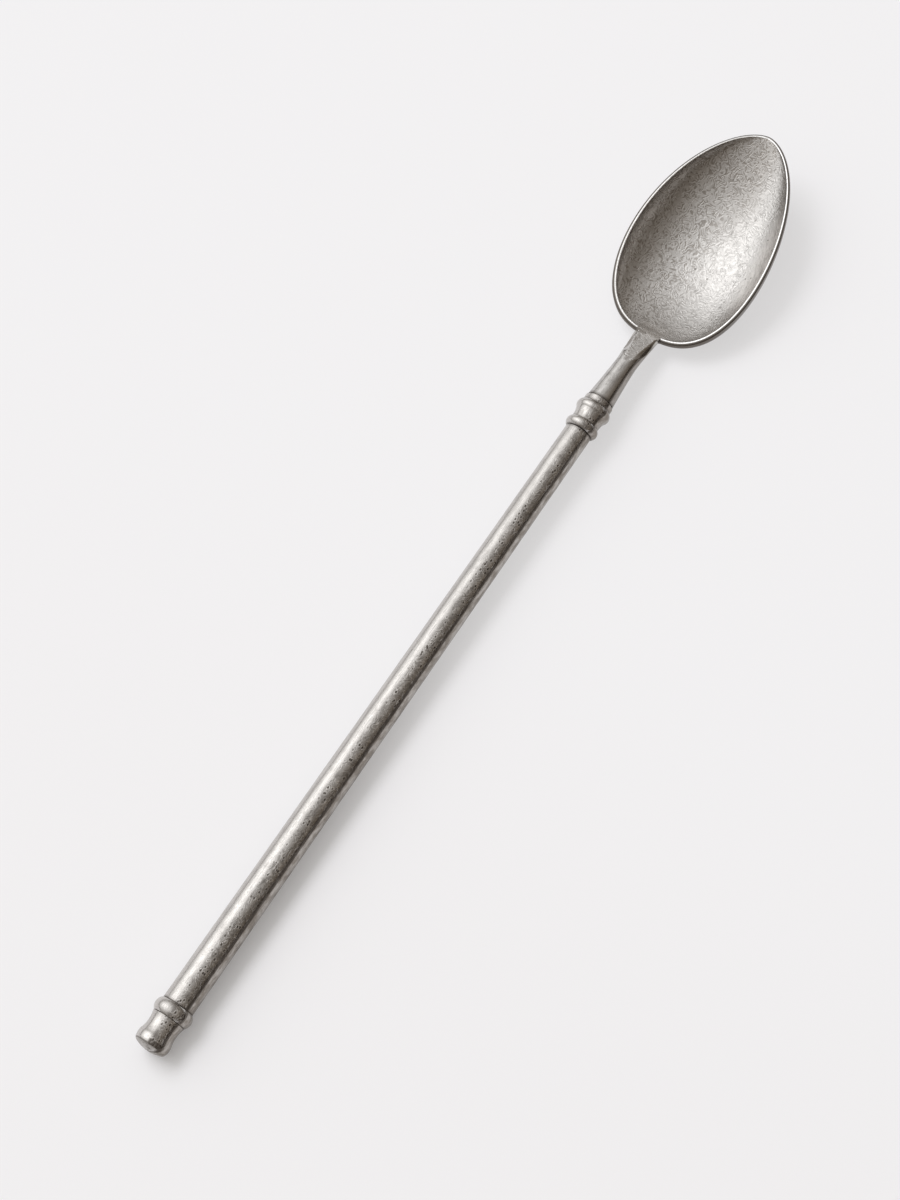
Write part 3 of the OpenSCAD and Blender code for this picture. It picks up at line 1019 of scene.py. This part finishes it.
def handle_look(name, seed, rough_from, rough_to):
    """Antiqued metal: pits with bright lips, scratches, stains, dirt in the grooves, tarnish,
    painted shade on one side and at the cap's end, and a painted dark reflection.
    """
    look = Look(name)
    shift = (seed, seed / 2, -seed)
    pitted, tarnish_and_shade = look.attribute("pitted"), look.attribute("tarnish_and_shade")
    grime_and_shade, end = look.attribute("grime_and_shade"), look.attribute("end")

    # Textures
    mottle = look.clouds((2.2, 0.9, 0.9), 4, 0.6, move=shift)
    fine = look.clouds((0.5, 0.25, 0.25), 3, 0.6, move=shift)
    curls = look.curls(1.5, 5, (seed, 2, 5))
    drawn = look.clouds((9, 0.32, 0.32), 3, 0.6, move=shift)
    pits, lips = pits_and_lips(look, pitted, shift)
    lines = look.scratches(5, 0.09, (3, 2, 1), shift, 0.68)
    cross = look.scratches(2.2, 0.08, (20, 40, 60), shift, 0.7)
    marks = look.most(lines, cross)

    # What is dirty, and the painted shade and dark reflection
    # Painted dark reflection along the upper border, and painted shade on the cap's roll
    dark_reflection = look.ragged(look.attribute("dark_reflection"), drawn)
    stain = look.times(look.stains(mottle, fine), look.plus(look.times(pitted, 0.35), 0.2))
    dirt_and_shade = look.most(look.times(grime_and_shade, 0.85), look.times(pits, 0.9))
    dirt_and_shade = look.most(dirt_and_shade, look.most(stain, look.times(dark_reflection, 0.8)))

    # Color
    bright = look.mix(fine, grey(0.52, 0.04), grey(0.68, 0.04))
    curled = look.times(look.ramp(curls, -0.7, 0.7), pitted)
    bright = look.mix(look.times(curled, 0.7), bright, grey(0.32, 0.06))
    bright = look.mix(look.times(lips, 0.7), bright, grey(0.85, 0.03))
    end_face = look.mix(fine, grey(0.36, 0.05), grey(0.56, 0.04))
    bright = look.mix(look.times(end, 0.85), bright, end_face)
    # Tarnish, with painted shade on the side turned away from the light
    tarnish_and_shade = look.times(tarnish_and_shade, look.ramp(mottle, 0.35, 0.62, 0.4, 0.85))
    color = look.mix(tarnish_and_shade, bright, TARNISH_AND_SHADE)
    color = look.mix(look.times(marks, 0.4), color, grey(0.28))
    # Dirt, and the painted shade and dark reflection, in the patina color
    color = look.mix(dirt_and_shade, color, PATINA_AND_SHADE)

    # Roughness and relief
    rough = look.plus(look.ramp(mottle, 0.3, 0.7, rough_from, rough_to), look.times(dirt_and_shade, 0.2))
    rough = look.plus(rough, look.times(end, 0.25))
    relief = look.plus(look.times(fine, 0.3), look.times(mottle, 0.2))
    relief = look.plus(relief, look.times(curled, -0.8))
    relief = look.minus(relief, look.most(pits, look.times(marks, 0.3)))
    return look.surface(color, rough, relief, 0.02)


def bowl_curls(look, rubbed_sheen):
    """The curly furrows of the hollow and the flat, faint where the wall is rubbed."""
    curls = look.plus(look.curls(1.8, 6, (1, 2, 5)), look.curls(1.8, 6, (7, 9, 4)))
    curls = look.times(curls, look.attribute("curled"))
    return look.times(curls, look.minus(1.0, look.times(rubbed_sheen, 0.8)))


def bowl_look():
    """Satin metal with curly furrows, a rubbed wall with a painted sheen, a bright rim, painted
    shade on the tip, the left wall and under the rim, a painted highlight on the brow and a painted
    dark reflection along the stem.
    """
    look = Look("bowl_metal")
    bare = look.minus(1.0, look.attribute("curled"))
    rim = look.most(look.attribute("rim"), look.times(look.attribute("border"), 0.6))
    tarnish_and_shade, grime_and_shade = look.attribute("tarnish_and_shade"), look.attribute("grime_and_shade")

    # Textures
    mottle = look.clouds((3, 3, 3), 3, 0.55)
    fine = look.clouds((0.3, 0.3, 0.3), 3, 0.6)
    worn = look.clouds((2.2, 0.7, 0.7), 4, 0.6)
    specks = look.ramp(look.cells((1.6, 1.6, 1.6)), 0.14, 0.08)
    specks = look.times(specks, look.ramp(look.clouds((4, 4, 4), 1), 0.55, 0.65))
    marks = look.scratches(6, 0.08, (0, 0, 25), (1, 2, 3), 0.73)
    marks = look.most(marks, look.scratches(4, 0.07, (0, 10, 120), (6, 2, 3), 0.74))
    drawn = look.clouds((9, 0.4, 0.4), 3, 0.6)
    brushed = look.clouds((8, 0.3, 0.3), 3, 0.6, turn=(0, 0, -8))
    rubbed_sheen = look.times(look.attribute("rubbed_sheen"), look.ramp(brushed, 0.3, 0.6, 0.45, 1.0))
    curls = bowl_curls(look, rubbed_sheen)

    # What is dirty, and the painted shade and dark reflection
    # Painted dark reflection along the stem
    dark_reflection = look.ragged(look.attribute("dark_reflection"), drawn)
    stain = look.times(look.stains(worn, fine), bare)
    dirt_and_shade = look.most(look.times(specks, 0.8), look.most(grime_and_shade, look.times(dark_reflection, 0.8)))
    dirt_and_shade = look.most(dirt_and_shade, look.times(stain, 0.4))

    # Color
    color = look.mix(look.ramp(curls, -0.9, 0.9), grey(0.54), grey(0.65))
    furrows = look.times(look.ramp(curls, -0.2, -0.9), look.attribute("furrowed"))
    color = look.mix(look.times(furrows, 0.85), color, FURROW)
    color = look.mix(look.times(mottle, 0.25), color, grey(0.5))
    # Painted highlight on the brow
    color = look.mix(look.times(look.attribute("brow_highlight"), 0.55), color, grey(0.85))
    # Painted sheen on the rubbed band
    color = look.mix(rubbed_sheen, color, grey(0.9))
    # Tarnish, and painted shade on the tip, the left wall and the outside
    color = look.mix(look.times(tarnish_and_shade, 0.62), color, TARNISH_AND_SHADE)
    color = look.mix(look.times(marks, 0.4), color, grey(0.3))
    # Dirt, and the painted shade under the rim and dark reflection, in the patina color
    color = look.mix(dirt_and_shade, color, PATINA_AND_SHADE)
    color = look.mix(rim, color, grey(0.96, 0.01))

    # Roughness and relief
    rough = look.plus(look.ramp(fine, 0.3, 0.7, 0.23, 0.33), look.times(rubbed_sheen, 0.2))
    rough = look.plus(rough, look.times(look.plus(tarnish_and_shade, look.times(bare, -0.8)), 0.14))
    rough = look.plus(look.times(rough, look.minus(1.0, rim)), look.times(rim, 0.22))
    relief = look.plus(look.times(curls, 0.68), look.times(fine, 0.2))
    relief = look.plus(relief, look.times(look.times(worn, bare), 0.5))
    relief = look.plus(relief, look.times(look.times(brushed, rubbed_sheen), 0.5))
    relief = look.minus(relief, look.times(marks, 0.3))
    return look.surface(color, rough, relief, 0.015)


def cement_look():
    """Matte brown cement with grain and lumps."""
    look = Look("cement")
    grain = look.clouds((0.4, 0.4, 0.4), 4, 0.6)
    lumps = look.clouds((2, 2, 2), 2, 0.5)
    share = look.plus(look.times(grain, 0.6), look.times(lumps, 0.4))
    color = look.mix(share, (0.24, 0.18, 0.13, 1), (0.46, 0.36, 0.28, 1))
    return look.surface(color, look.ramp(grain, 0.3, 0.7, 0.75, 0.95), grain, 0.05, 0.0)


# The stage: floor, light and camera


def add_floor():
    """A pale floor whose color and own glow give one level, with a lighter shadow by the bowl."""
    half = FLOOR_HALF
    corners = [(-half, -half, 0), (half, -half, 0), (half, half, 0), (-half, half, 0)]
    mesh = bpy.data.meshes.new("floor")
    mesh.from_pydata(corners, [], [(0, 1, 2, 3)])
    floor = bpy.data.objects.new("floor", mesh)
    bpy.context.scene.collection.objects.link(floor)
    look = Look("floor")
    x = look.node("ShaderNodeSeparateXYZ", {0: look.place}).outputs["X"]
    own_glow = look.ramp(x, *FLOOR_CHANGE, FLOOR_LIFT, FLOOR_LIFT_AHEAD)
    share = look.math("DIVIDE", look.minus(PALE, own_glow), FLOOR_LIGHT)
    color = look.node("ShaderNodeCombineColor", {0: share, 1: share, 2: share}).outputs[0]
    matte = look.node("ShaderNodeBsdfDiffuse", {"Color": color}).outputs[0]
    rays = look.node("ShaderNodeLightPath").outputs
    seen = look.most(rays["Is Camera Ray"], rays["Is Glossy Ray"])
    seen = look.most(seen, rays["Is Transmission Ray"])
    strength = look.times(seen, own_glow)
    glow = look.node("ShaderNodeEmission", {"Color": FLOOR_LIFT_TINT, "Strength": strength})
    both = look.node("ShaderNodeAddShader", {0: matte, 1: glow.outputs[0]}).outputs[0]
    look.node("ShaderNodeOutputMaterial", {0: both})
    mesh.materials.append(look.material)


def add_world():
    """A plain studio: a broad soft light over the spoon's left side, which fades round the room.
    A pale backdrop stands low behind the floor, and the camera sees it wherever the floor ends."""
    world = bpy.data.worlds.new("studio")
    sky = Shading(world)
    place = sky.node("ShaderNodeTexCoord").outputs["Generated"]
    dot = sky.node("ShaderNodeVectorMath", {0: place, 1: GLOW_TOWARD}, operation="DOT_PRODUCT")
    share = sky.times(sky.plus(dot.outputs["Value"], 1.0), 0.5)
    glow = sky.node("ShaderNodeValToRGB", {0: share})
    stops = glow.color_ramp.elements
    while len(stops) < len(GLOW):
        stops.new(0.5)
    for stop, (angle, level, warmth) in zip(stops, reversed(GLOW)):
        stop.position = (math.cos(math.radians(angle)) + 1) / 2
        stop.color = grey(level, warmth)
    height = sky.node("ShaderNodeSeparateXYZ", {0: place}).outputs["Z"]
    low = sky.math("LESS_THAN", height, BACKDROP_HEIGHT)
    rise = sky.ramp(height, 0.0, HORIZON_TOP, HORIZON_SHADE, 1.0)
    dimmed = sky.node(
        "ShaderNodeVectorMath", {0: glow.outputs[0], "Scale": rise}, operation="SCALE"
    ).outputs[0]
    rays = sky.node("ShaderNodeLightPath").outputs
    mirrored = sky.most(rays["Is Glossy Ray"], rays["Is Transmission Ray"])
    seen = sky.most(rays["Is Camera Ray"], sky.times(mirrored, low))
    color = sky.mix(seen, dimmed, grey(PALE, 0))
    shine = sky.node("ShaderNodeBackground", {"Color": color}).outputs[0]
    sky.node("ShaderNodeOutputWorld", {0: shine})
    bpy.context.scene.world = world


def add_key():
    """The lamp that gives the floor its soft shadow. The metal mirrors the glow instead."""
    data = bpy.data.lights.new("key", "AREA")
    data.shape = "RECTANGLE"
    data.size, data.size_y = KEY_SIZE
    data.energy = KEY_POWER
    data.color = KEY_TINT
    key = bpy.data.objects.new("key", data)
    bpy.context.scene.collection.objects.link(key)
    toward = Vector(KEY_TOWARD).normalized()
    side = Vector((1, 0, 0))
    side = (side - side.dot(toward) * toward).normalized()
    turn = Matrix((side, toward.cross(side), toward)).transposed().to_4x4()
    key.matrix_world = Matrix.Translation(KEY_DISTANCE * toward) @ turn
    key.visible_glossy = False


def add_camera():
    """The view from over the tail, worked out on a floor whose X runs to the right in it."""
    turn = math.radians(HANDLE_TURN)
    rise = math.radians(CAMERA_ELEVATION)
    roll = math.radians(CAMERA_ROLL)
    row_x = Vector((math.cos(turn), math.sin(turn), 0))
    row_y = Vector((-math.sin(turn), math.cos(turn), 0))
    origin = Vector((*TAIL_PLACE, 0)) - cad_box[0].x * row_x
    to_row = Matrix((row_x, row_y, Vector((0, 0, 1))))
    forward = Vector((0, math.cos(rise), -math.sin(rise)))
    right, up = Vector((1, 0, 0)), Vector((0, math.sin(rise), math.cos(rise)))
    leaned_right = math.cos(roll) * right - math.sin(roll) * up
    leaned_up = math.sin(roll) * right + math.cos(roll) * up
    axes = Matrix([to_row @ axis for axis in (leaned_right, leaned_up, -forward)]).transposed()
    place = to_row @ (-CAMERA_DISTANCE * forward - origin)
    data = bpy.data.cameras.new("camera")
    data.lens = CAMERA_LENS
    data.sensor_width = CAMERA_SENSOR
    data.clip_start = CAMERA_NEAR
    camera = bpy.data.objects.new("camera", data)
    bpy.context.scene.collection.objects.link(camera)
    camera.matrix_world = Matrix.Translation(place) @ axes.to_4x4()
    bpy.context.scene.camera = camera


add_camera()
add_floor()
add_world()
add_key()

spoon_bowl().data.materials.append(bowl_look())
handle().data.materials.append(handle_look("handle_metal", 1, 0.17, 0.25))
collar().data.materials.append(handle_look("collar_metal", 2, 0.13, 0.2))
ring().data.materials.append(handle_look("ring_metal", 3, 0.12, 0.18))
cap().data.materials.append(handle_look("cap_metal", 4, 0.13, 0.2))
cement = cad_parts["tang_cement"]
cement.data.materials.clear()
cement.data.materials.append(cement_look())

bpy.context.scene.view_settings.view_transform = "Standard"
